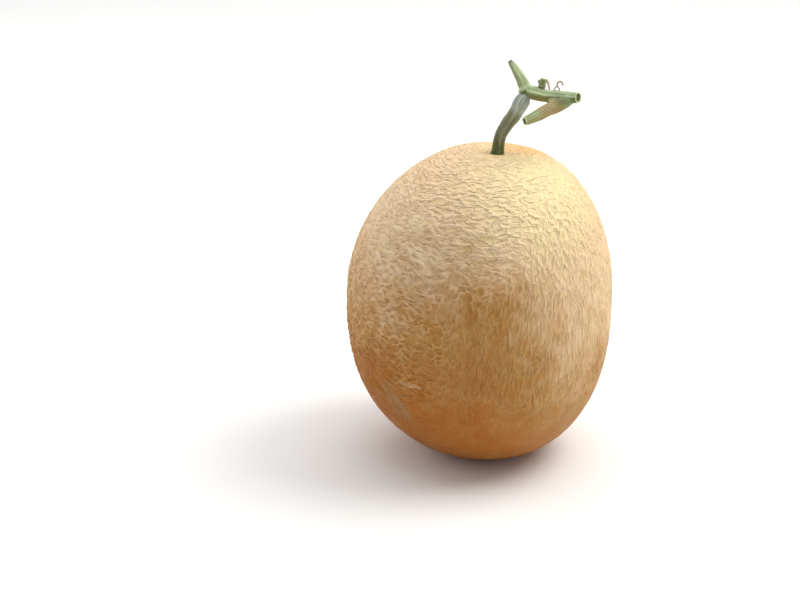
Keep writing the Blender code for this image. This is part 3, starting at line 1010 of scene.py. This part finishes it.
def cut_end(points, place, ahead, radius, depth):
    """How far each point sinks below a cut end, and how near it is to the end's pith and rim."""
    apart = points - place
    out = np.linalg.norm(apart - (apart @ ahead)[:, None] * ahead, axis=1) / radius
    near = np.abs(apart @ ahead) < 0.5 * MM
    pith = near * (1 - smooth_step(PITH_SHARE - 0.12, PITH_SHARE + 0.08, out))
    rim = near * (1 - pith) * (out < 1.25)
    return pith * depth, pith, rim


def model_vine():
    """The cut piece of vine: its arm, the leaf stub, the web between them and the node, grown into one."""
    stem = settings("melon_stem")
    parts = [sweep("arm", ARM_ROUTE, 32), sweep("stub", LEAF_STUB_ROUTE, 32), sweep("web", WEB_ROUTE, 24)]
    parts += [sweep("node", NODE_ROUTE, 24)]
    vine = fuse("ribbed_vine", parts, STEM_VOXEL, 8)
    points = each_point(vine, "co")
    normals = each_point(vine, "normal")
    arm = Limb(ARM_ROUTE)
    stub = Limb(LEAF_STUB_ROUTE)
    arm_along, arm_turn, arm_out, arm_radius = arm.locate(points)
    stub_along, stub_turn, stub_out, stub_radius = stub.locate(points)
    arm_gap = (arm_out - 1) * arm_radius
    stub_gap = (stub_out - 1) * stub_radius
    on_stub = smooth_step(-0.8 * MM, 1.0 * MM, arm_gap - stub_gap)
    parted = smooth_step(0.0, 2.0 * MM, np.abs(arm_gap - stub_gap))
    along = np.where(on_stub > 0.5, stub_along + 0.1, arm_along)
    turn = np.where(on_stub > 0.5, stub_turn, arm_turn)
    radius = np.where(on_stub > 0.5, stub_radius, arm_radius)
    ribs = pointed_ribs(turn + 0.5, stem.ribs) - 0.45 + 0.4 * (pointed_ribs(turn, stem.ribs * 2) - 0.45)
    rise = radius * ribs * stem.vine_rib_depth * (0.25 + 0.75 * parted)
    rise += 0.10 * MM * noise_at(points, 300.0) + 0.05 * MM * noise_at(points, 800.0)
    points = points + normals * rise[:, None]
    pith = np.zeros(len(points))
    rim = np.zeros(len(points))
    for limb in (arm, stub):
        sink, inner, outer = cut_end(points, limb.places[-1], limb.ahead[-1], limb.radii[-1], stem.pith_depth)
        points -= sink[:, None] * limb.ahead[-1]
        pith = np.maximum(pith, inner)
        rim = np.maximum(rim, outer)
    set_points(vine, points)
    up = each_point(vine, "normal")[:, 2]
    front = each_point(vine, "normal")[:, 1]
    groove = 1 - smooth_step(0.1, 0.55, pointed_ribs(turn + 0.5, stem.ribs))
    off_stub = 1 - on_stub
    arm_share = arm_along / arm.length
    far = smooth_step(0.62, 0.80, arm_share)
    # Painted shade: the arm's downward-facing side is darkened, most at its far end.
    shaded_underside = smooth_step(0.25, -0.40, up) * off_stub
    ring = np.exp(-(((arm_share - NODE_RING) / 0.020) ** 2)) * off_stub
    # Painted shade: dark green on the arm's lower front, where the stalk's head meets it from below.
    joint_shade = np.exp(-(((arm_share - JOINT_SHADE_SHARE) / 0.026) ** 2)) * off_stub
    joint_shade *= smooth_step(0.35, -0.25, up) * smooth_step(0.2, -0.4, front)
    tip = (1 - smooth_step(0.0, 2.6 * MM, arm_along)) * off_stub
    stub_share = stub_along / stub.length
    stub_bark = on_stub * smooth_step(0.10, 0.26, stub_share)
    reddish = stub_bark * smooth_step(0.25, 0.6, 1 - np.abs(stub_share - 0.52) * 3.0)
    tint = painted(stem.vine_green, len(points), (
        (groove * 0.32 * parted, VINE_GROOVE_GREEN),
        (shaded_underside * 0.85, VINE_UNDER_SHADE_OLIVE),
        (shaded_underside * far * 0.8, VINE_FAR_UNDER_SHADE_GREEN),
        (stub_bark * 0.85, STUB_OLIVE),
        # Painted light: a lighter grey-green on the stub's upward-facing side.
        (stub_bark * smooth_step(0.0, 0.6, up) * 0.7, STUB_LIT_TOP_GREEN),
        (stub_bark * (1 - smooth_step(0.30, 0.50, stub_share)) * 0.65, STUB_OUTER_BROWN),
        (on_stub * (1 - smooth_step(0.12, 0.24, stub_share)) * 0.7, STUB_FOOT_GREEN),
        # Painted shade: browner and darker on the stub's downward-facing side.
        (stub_bark * smooth_step(-0.3, -0.9, up) * 0.5, STUB_UNDER_SHADE_BROWN),
        (ring * 0.65, NODE_RING_PALE),
        (joint_shade * 0.85, JOINT_SHADE_GREEN),
        (reddish * 0.50, STUB_REDDISH),
        (tip, TIP_BROWN),
        (rim * 0.9, CUT_RIM_PALE),
        (pith, CUT_PITH_DARK),
    ))
    store_bark(vine, along, turn, tint)
    vine.data.shade_smooth()
    return vine


def model_withered_bits():
    """The withered flower bud and the dry tendrils on top of the vine."""
    bits = [sweep("bud", BUD_ROUTE, 16), sweep("flower_rest", FLOWER_REST_ROUTE, 12)]
    bits += [sweep("tendril", route, 10) for route in TENDRIL_ROUTES]
    for x, y, z, radius in BUD_LUMPS:
        place = FRUIT_CENTRE + Vector((x, y, z)) * MM
        bpy.ops.mesh.primitive_ico_sphere_add(subdivisions=3, radius=radius * MM, location=place)
        bpy.ops.object.transform_apply(location=True, rotation=False, scale=False)
        bits.append(bpy.context.object)
    made = fuse("withered_bits", bits, WITHERED_VOXEL, 3)
    points = each_point(made, "co")
    across = points[:, 0] - FRUIT_CENTRE.x
    bud = smooth_step(BUD_END + 0.3 * MM, BUD_END - 0.3 * MM, across)
    rest = smooth_step(FLOWER_REST_END + 0.3 * MM, FLOWER_REST_END - 0.3 * MM, across) * (1 - bud)
    rise = bud * 0.40 * MM * noise_at(points, 1100.0) + 0.06 * MM * noise_at(points, 1500.0)
    points = points + each_point(made, "normal") * rise[:, None]
    set_points(made, points)
    flecks = smooth_step(-0.1, 0.3, noise_at(points, 600.0))
    foot = smooth_step(BUD_FOOT + 0.8 * MM, BUD_FOOT - 0.8 * MM, points[:, 2] - FRUIT_CENTRE.z)
    dry = np.array(settings("melon_stem").dry_brown)
    tint = painted(dry * 1.35, len(points), (
        (rest, FLOWER_REST_BUFF),
        (bud, BUD_OLIVE),
        (bud * flecks, BUD_FLECK_GREEN),
        (bud * foot * 0.8, BUD_FOOT_GREEN),
    ))
    store_bark(made, points[:, 2], points[:, 0] * 500, tint)
    made.data.shade_smooth()
    return made


# Materials.


class Finish:
    """A material being put together. Each method adds a node and gives its output."""

    def __init__(self, name):
        self.material = bpy.data.materials.new(name)
        self.material.use_nodes = True
        self.tree = self.material.node_tree
        self.shader = self.tree.nodes["Principled BSDF"]
        self.place = self.add("ShaderNodeTexCoord").outputs["Object"]

    def add(self, kind, **fields):
        node = self.tree.nodes.new(kind)
        for field, value in fields.items():
            setattr(node, field, value)
        return node

    def feed(self, socket, value):
        if isinstance(value, bpy.types.NodeSocket):
            self.tree.links.new(value, socket)
        elif socket.type == "RGBA" and len(value) == 3:
            socket.default_value = (*value, 1.0)
        else:
            socket.default_value = value

    def noise(self, scale, detail=3.0, roughness=0.55, distortion=0.0, place=None):
        node = self.add("ShaderNodeTexNoise")
        self.feed(node.inputs["Vector"], place or self.place)
        node.inputs["Scale"].default_value = scale
        node.inputs["Detail"].default_value = detail
        node.inputs["Roughness"].default_value = roughness
        node.inputs["Distortion"].default_value = distortion
        return node.outputs["Fac"]

    def ramp(self, value, low, high, from_value=0.0, to_value=1.0):
        """The value smoothly stretched from low..high onto from_value..to_value."""
        node = self.add("ShaderNodeMapRange", interpolation_type="SMOOTHSTEP")
        self.feed(node.inputs["Value"], value)
        limits = {"From Min": low, "From Max": high, "To Min": from_value, "To Max": to_value}
        for name, limit in limits.items():
            node.inputs[name].default_value = limit
        return node.outputs["Result"]

    def math(self, operation, first, second=0.0):
        node = self.add("ShaderNodeMath", operation=operation)
        self.feed(node.inputs[0], first)
        self.feed(node.inputs[1], second)
        return node.outputs["Value"]

    def times(self, first, second):
        return self.math("MULTIPLY", first, second)

    def mix(self, share, first, second, blend="MIX"):
        node = self.add("ShaderNodeMix", data_type="RGBA", blend_type=blend)
        self.feed(node.inputs[0], share)
        self.feed(node.inputs[6], first)
        self.feed(node.inputs[7], second)
        return node.outputs[2]

    def through(self, value, *colours):
        """A colour that runs through the given ones as the value goes from 0 to 1."""
        node = self.add("ShaderNodeValToRGB")
        stops = node.color_ramp.elements
        while len(stops) < len(colours):
            stops.new(0.5)
        for k, (stop, colour_at_stop) in enumerate(zip(stops, colours)):
            stop.position = k / (len(colours) - 1)
            stop.color = (*colour_at_stop, 1.0)
        self.feed(node.inputs["Fac"], value)
        return node.outputs["Color"]

    def attribute(self, name, output="Fac"):
        return self.add("ShaderNodeAttribute", attribute_name=name).outputs[output]

    def combine(self, value):
        """A grey of the value."""
        node = self.add("ShaderNodeCombineXYZ")
        for socket in node.inputs:
            self.feed(socket, value)
        return node.outputs["Vector"]

    def bump(self, height, strength, distance, normal=None):
        node = self.add("ShaderNodeBump")
        self.feed(node.inputs["Height"], height)
        node.inputs["Strength"].default_value = strength
        node.inputs["Distance"].default_value = distance
        if normal:
            self.feed(node.inputs["Normal"], normal)
        return node.outputs["Normal"]

    def finish(self, base, roughness, normal):
        self.feed(self.shader.inputs["Base Color"], base)
        self.feed(self.shader.inputs["Roughness"], roughness)
        self.feed(self.shader.inputs["Normal"], normal)
        return self.material


class RindFinish(Finish):
    """The rind's own patterns."""

    def wrinkle(self, place_name):
        """Thin lines along one way of the grain, 1 on their crests."""
        waves = self.noise(1.0, detail=2, roughness=0.45, place=self.attribute(place_name, "Vector"))
        return self.ramp(self.math("ABSOLUTE", self.math("SUBTRACT", waves, 0.5)), 0.005, 0.085, 1.0, 0.0)

    def near(self, marks, ragged, softness):
        """1 on marks given by their middles and half sizes, and 0 away from them, with ragged edges."""
        found = 0.0
        for middle, half_size in marks:
            away = self.add("ShaderNodeVectorMath", operation="SUBTRACT")
            self.feed(away.inputs[0], self.place)
            away.inputs[1].default_value = FRUIT_CENTRE + Vector(middle)
            scaled = self.add("ShaderNodeVectorMath", operation="DIVIDE")
            self.feed(scaled.inputs[0], away.outputs["Vector"])
            scaled.inputs[1].default_value = half_size
            size = self.add("ShaderNodeVectorMath", operation="LENGTH")
            self.feed(size.inputs[0], scaled.outputs["Vector"])
            reach = self.math("ADD", size.outputs["Value"], ragged)
            found = self.math("MAXIMUM", self.ramp(reach, 1.0 - softness, 1.0 + softness, 1.0, 0.0), found)
        return found

    def wrinkles(self):
        """Level wrinkles on the curly side and upright ones on the lined side."""
        level = self.wrinkle("level")
        upright = self.wrinkle("upright")
        lined = self.attribute("lined")
        kept = self.times(level, self.math("SUBTRACT", 1.0, lined))
        return self.math("ADD", kept, self.times(self.times(upright, 0.78), lined))


def rind_material():
    """An ochre ground under paler strands, with the small marks of a grown rind, a painted highlight on the
    upper right and painted shade in the dip. The stored paleness also holds painted shade down the front
    middle.
    """
    colours = settings("melon_rind_colours")
    rind = RindFinish("netted rind")
    net = rind.attribute("net")
    fine = rind.noise(900, detail=4)
    blotches = rind.noise(140, detail=4)
    paleness = rind.math("ADD", rind.attribute("paleness"), rind.ramp(blotches, 0.25, 0.75, -0.09, 0.09))
    ground = rind.through(paleness, colours.deep_ground, colours.middle_ground, colours.pale_ground)
    strand = rind.through(paleness, colours.deep_strand, colours.middle_strand, colours.pale_strand)
    greenish = rind.ramp(rind.noise(60, detail=3), 0.52, 0.72, 0.0, 0.22)
    ground = rind.mix(greenish, ground, GREENISH_GROUND)
    wrinkles = rind.times(rind.wrinkles(), rind.ramp(rind.attribute("relief"), 0.12, 0.45, 0.35, 1.0))
    ragged = rind.math("ADD", net, rind.ramp(fine, 0.2, 0.8, -0.20, 0.20))
    cover = rind.math("MAXIMUM", rind.ramp(ragged, 0.10, 0.85), rind.times(wrinkles, 0.55))
    base = rind.mix(cover, ground, strand)
    ragged_edge = rind.ramp(rind.noise(420, detail=5, roughness=0.7), 0.25, 0.75, -0.75, 0.75)
    soft_edge = rind.ramp(blotches, 0.25, 0.75, -0.25, 0.25)
    for marks, edge, softness, strength, tint in (
        # A painted highlight: cream on the upper right, where the key light falls.
        (HIGHLIGHT_PATCHES, soft_edge, 0.6, 0.55, PAINTED_HIGHLIGHT_CREAM),
        (SCUFFS, ragged_edge, 0.45, rind.ramp(fine, 0.40, 0.62, 0.10, 0.70), SCUFF_GREY),
        (PALE_SCARS, ragged_edge, 0.45, 0.50, PALE_SCAR_BUFF),
        # Painted shade: darker orange on the dip's far wall.
        (DIP_SHADE_PATCHES, ragged_edge, 0.45, 0.55, PAINTED_SHADE_ORANGE),
        (CRACKS, ragged_edge, 0.45, 0.60, CRACK_BROWN),
    ):
        base = rind.mix(rind.times(rind.near(marks, edge, softness), strength), base, tint)
    roughness = rind.ramp(cover, 0.1, 0.8, 0.50, 0.78)
    grain = rind.bump(rind.noise(1500, detail=5), 0.25, 0.0004)
    normal = rind.bump(wrinkles, 1.0, 0.00055, grain)
    rind.shader.inputs["Specular IOR Level"].default_value = 0.25
    return rind.finish(base, roughness, normal)


def scar_material():
    """Dry cork in rings, darker toward the middle."""
    scar = Finish("blossom scar")
    out = scar.attribute("out")
    fine = scar.noise(1400, detail=4)
    uneven = scar.math("ADD", out, scar.ramp(scar.noise(500), 0.2, 0.8, -0.10, 0.10))
    base = scar.through(uneven, *CORK)
    base = scar.mix(scar.ramp(fine, 0.45, 0.65, 0.0, 0.5), base, CORK_FLECK)
    return scar.finish(base, scar.ramp(fine, 0.2, 0.8, 0.80, 0.92), scar.bump(fine, 0.5, 0.0003))


def bark_material(name, roughness):
    """A stem's bark: its stored tint, streaked along the limb."""
    bark = Finish(name)
    grain = bark.attribute("grain", "Vector")
    streaks = bark.noise(900, detail=4, place=grain)
    specks = bark.noise(2200, detail=3)
    tint = bark.attribute("tint", "Color")
    shade = bark.ramp(streaks, 0.3, 0.7, 0.72, 1.25)
    base = bark.mix(1.0, tint, bark.combine(shade), "MULTIPLY")
    base = bark.mix(bark.ramp(specks, 0.52, 0.72, 0.0, 0.40), base, (0.60, 0.62, 0.50))
    normal = bark.bump(specks, 0.25, 0.0003, bark.bump(streaks, 0.35, 0.0006))
    bark.shader.inputs["Specular IOR Level"].default_value = 0.3
    return bark.finish(base, bark.ramp(streaks, 0.2, 0.8, roughness - 0.08, roughness + 0.08), normal)


def dress(piece, material, slot, *nodes):
    """Gives a finished piece its material, and ties it to the frame."""
    piece.data.materials.clear()
    piece.data.materials.append(material)
    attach(piece, "root")
    if nodes:
        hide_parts(*nodes)


# Stage.


def model_floor():
    bpy.ops.mesh.primitive_plane_add(size=6.0, location=(0, 0, 0))
    floor = bpy.context.object
    floor.name = "floor"
    paper = Finish("pale floor")
    base = paper.mix(paper.noise(3.0), *PAPER_WHITES)
    floor.data.materials.append(paper.finish(base, 0.9, paper.bump(paper.noise(400), 0.05, 0.001)))


def aim(thing, target):
    thing.rotation_euler = (Vector(target) - thing.location).to_track_quat("-Z", "Y").to_euler()


def add_light(name, location, size, tint, power):
    light = bpy.data.lights.new(name, "AREA")
    light.shape = "DISK"
    light.size = size
    light.energy = power
    light.color = tint
    lamp = bpy.data.objects.new(name, light)
    lamp.location = location
    bpy.context.scene.collection.objects.link(lamp)
    aim(lamp, FRUIT_CENTRE)


def place_camera():
    """The camera looks down past the fruit's left side, so that the fruit stands right of the middle."""
    stage = settings("melon_stage")
    camera = bpy.data.objects.new("camera", bpy.data.cameras.new("camera"))
    camera.data.lens = stage.lens
    camera.data.sensor_width = SENSOR_WIDTH
    back = Vector((0, -math.cos(stage.elevation), math.sin(stage.elevation)))
    camera.location = FRUIT_CENTRE + back * stage.distance
    pixels_per_tangent = IMAGE_WIDTH * stage.lens / SENSOR_WIDTH
    right = (FRUIT_PIXEL[0] - IMAGE_WIDTH / 2) / pixels_per_tangent
    above = (IMAGE_HEIGHT / 2 - FRUIT_PIXEL[1]) / pixels_per_tangent
    reach = math.hypot(right, above, 1.0)
    pitch = math.acos(math.sin(stage.elevation) * reach / math.hypot(above, 1.0)) - math.atan(above)
    yaw = math.atan2(right, above * math.cos(pitch) + math.sin(pitch))
    camera.rotation_euler = (pitch, 0, yaw)
    bpy.context.scene.collection.objects.link(camera)
    bpy.context.scene.camera = camera


# Operators.


class MELON_OT_rind(bpy.types.Operator):
    """Model the netted rind round the fruit"""

    bl_idname = "melon.rind"
    bl_label = "Netted Rind"

    def execute(self, context):
        dress(model_rind(), rind_material(), "rind", "fruit")
        return {"FINISHED"}


class MELON_OT_blossom_scar(bpy.types.Operator):
    """Model the corky scar of the blossom at the middle of the flat spot"""

    bl_idname = "melon.blossom_scar"
    bl_label = "Blossom Scar"

    def execute(self, context):
        dress(model_blossom_scar(), scar_material(), "rind")
        return {"FINISHED"}


class MELON_OT_stalk(bpy.types.Operator):
    """Model the ribbed stalk that stands in the dip"""

    bl_idname = "melon.stalk"
    bl_label = "Stalk"

    def execute(self, context):
        dress(model_stalk(), bark_material("stalk bark", 0.68), "stalk", "stalk")
        return {"FINISHED"}


class MELON_OT_vine(bpy.types.Operator):
    """Model the cut piece of vine with its leaf stub"""

    bl_idname = "melon.vine"
    bl_label = "Vine"

    def execute(self, context):
        dress(model_vine(), bark_material("vine bark", 0.60), "vine", "vine")
        return {"FINISHED"}


class MELON_OT_withered_bits(bpy.types.Operator):
    """Model the withered bud and tendrils on the vine"""

    bl_idname = "melon.withered_bits"
    bl_label = "Withered Bits"

    def execute(self, context):
        dress(model_withered_bits(), bark_material("withered bits", 0.85), "vine")
        return {"FINISHED"}


class MELON_OT_stage(bpy.types.Operator):
    """Set the floor, the lights and the camera"""

    bl_idname = "melon.stage"
    bl_label = "Stage"

    def execute(self, context):
        stage = settings("melon_stage")
        model_floor()
        for name, location, size, tint in LIGHTS:
            add_light(name, location, size, tint, getattr(stage, f"{name}_power"))
        world = bpy.data.worlds.new("surround")
        world.use_nodes = True
        background = world.node_tree.nodes["Background"]
        background.inputs["Color"].default_value = (1.0, 1.0, 1.0, 1.0)
        background.inputs["Strength"].default_value = stage.surround
        context.scene.world = world
        context.scene.view_settings.view_transform = "Standard"
        place_camera()
        return {"FINISHED"}


class MELON_PT_sidebar(bpy.types.Panel):
    """The melon's pieces and their settings"""

    bl_label = "Melon"
    bl_idname = "MELON_PT_sidebar"
    bl_space_type = "VIEW_3D"
    bl_region_type = "UI"
    bl_category = "Melon"

    def draw(self, context):
        layout = self.layout
        for operator in OPERATORS:
            layout.operator(operator.bl_idname)
        for name, _ in SETTINGS:
            box = layout.box()
            group = getattr(context.scene, name)
            for field in group.bl_rna.properties:
                if field.identifier not in ("rna_type", "name"):
                    box.prop(group, field.identifier)


SETTINGS = (
    ("melon_fruit", FruitSettings),
    ("melon_rind_colours", RindColours),
    ("melon_stem", StemSettings),
    ("melon_stage", StageSettings),
)
OPERATORS = (
    MELON_OT_rind,
    MELON_OT_blossom_scar,
    MELON_OT_stalk,
    MELON_OT_vine,
    MELON_OT_withered_bits,
    MELON_OT_stage,
)


def register():
    for name, group in SETTINGS:
        bpy.utils.register_class(group)
        setattr(bpy.types.Scene, name, PointerProperty(type=group))
    for operator in OPERATORS:
        bpy.utils.register_class(operator)
    bpy.utils.register_class(MELON_PT_sidebar)


def unregister():
    bpy.utils.unregister_class(MELON_PT_sidebar)
    for operator in reversed(OPERATORS):
        bpy.utils.unregister_class(operator)
    for name, group in reversed(SETTINGS):
        delattr(bpy.types.Scene, name)
        bpy.utils.unregister_class(group)


def main():
    register()
    bpy.ops.melon.rind()
    bpy.ops.melon.blossom_scar()
    bpy.ops.melon.stalk()
    bpy.ops.melon.vine()
    bpy.ops.melon.withered_bits()
    bpy.ops.melon.stage()


if __name__ == "__main__":
    main()
